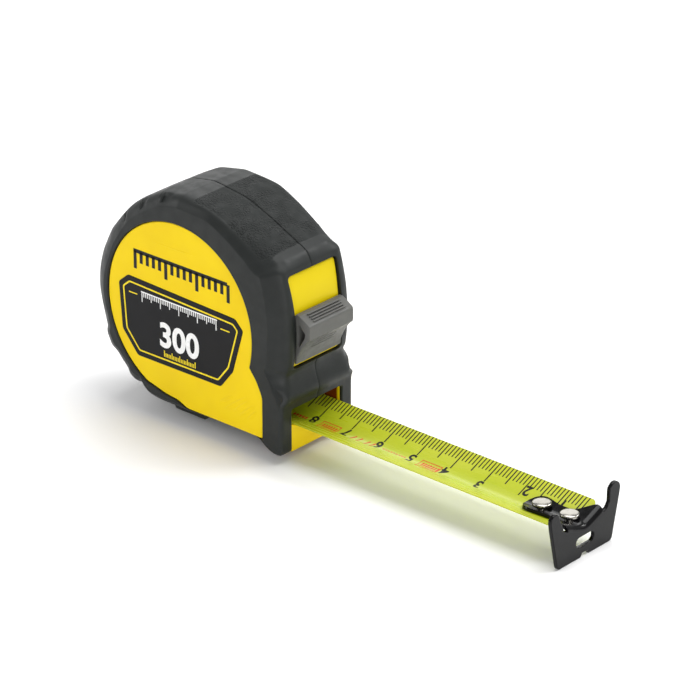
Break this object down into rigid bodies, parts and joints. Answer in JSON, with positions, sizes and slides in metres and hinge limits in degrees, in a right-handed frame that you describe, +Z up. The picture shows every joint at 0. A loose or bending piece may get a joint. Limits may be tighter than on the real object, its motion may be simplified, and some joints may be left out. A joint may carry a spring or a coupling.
{
  "type": "pocket tape measure",
  "caption": "Pocket tape measure: rubber-clad case, cupped blade on a sprung spool, sliding front lock, floating end hook and belt clip.",
  "frame": {"origin": "underside of the base foot, straight below the spool axis, in the seam plane", "axes": "+X out of the mouth along the blade towards the hook, +Y towards the belt-clip side, +Z up"},
  "size_m": [0.1423, 0.03, 0.0593],
  "materials": {
    "case_plastic": "yellow ABS, satin moulded",
    "overmould_rubber": "charcoal thermoplastic rubber, smooth with a pebbled top",
    "badge_print": "black printed label, satin",
    "lever_plastic": "mid-grey moulded plastic",
    "nylon": "natural nylon",
    "pad_rubber": "dark rubber",
    "spring_steel": "tempered spring steel",
    "blade_lacquer": "lime-yellow lacquered steel band with printed graduations",
    "hook_steel": "black coated steel",
    "rivet_nickel": "bright nickel plate",
    "screw_steel": "zinc-plated steel"
  },
  "bodies": {
    "case": {"left_shell": "case_plastic", "right_shell": "case_plastic", "left_overmould": "overmould_rubber", "right_overmould": "overmould_rubber", "base_foot": "overmould_rubber", "window_panel": "case_plastic", "mouth_guide": "case_plastic", "left_badge": "badge_print", "spring_post": "spring_steel", "case_screw_1": "screw_steel", "case_screw_2": "screw_steel", "case_screw_3": "screw_steel", "case_screw_4": "screw_steel", "clip_base": "spring_steel", "clip_screw": "screw_steel"},
    "lock": {"lock_lever": "lever_plastic", "lock_plate": "nylon", "brake_pad": "pad_rubber"},
    "spool": {"spool_hub": "nylon", "spool_cover": "nylon", "power_spring": "spring_steel", "blade_coil": "blade_lacquer"},
    "blade": {"blade_strip": "blade_lacquer", "hook_rivet_1": "rivet_nickel", "hook_rivet_2": "rivet_nickel"},
    "hook_end": {"hook": "hook_steel"},
    "clip": {"clip_arm": "spring_steel"}
  },
  "joints": [
    {"name": "blade_slide", "type": "slide", "parent": "case", "child": "blade", "axis": [1, 0, 0], "range_m": [-0.0776, 0], "deforming": ["blade_strip"]},
    {"name": "spool_spin", "type": "hinge", "parent": "case", "child": "spool", "pos_m": [0, 0, 0.0267], "axis": [0, 1, 0], "range_deg": [0, 249]},
    {"name": "hook_float", "type": "slide", "parent": "blade", "child": "hook_end", "axis": [1, 0, 0], "range_m": [-0.001, 0]},
    {"name": "lock_slide", "type": "hinge", "parent": "case", "child": "lock", "pos_m": [-0.0174, 0, 0.0298], "axis": [0, -1, 0], "range_deg": [0, 10]},
    {"name": "clip_flex", "type": "hinge", "parent": "case", "child": "clip", "pos_m": [0, 0.0162, 0.0457], "axis": [1, 0, 0], "range_deg": [0, 8], "stiffness_Nm_per_rad": 0.5}
  ],
  "couplings": [
    {"joint": "spool_spin", "follows": "blade_slide", "rad_per_m": -55.866}
  ]
}
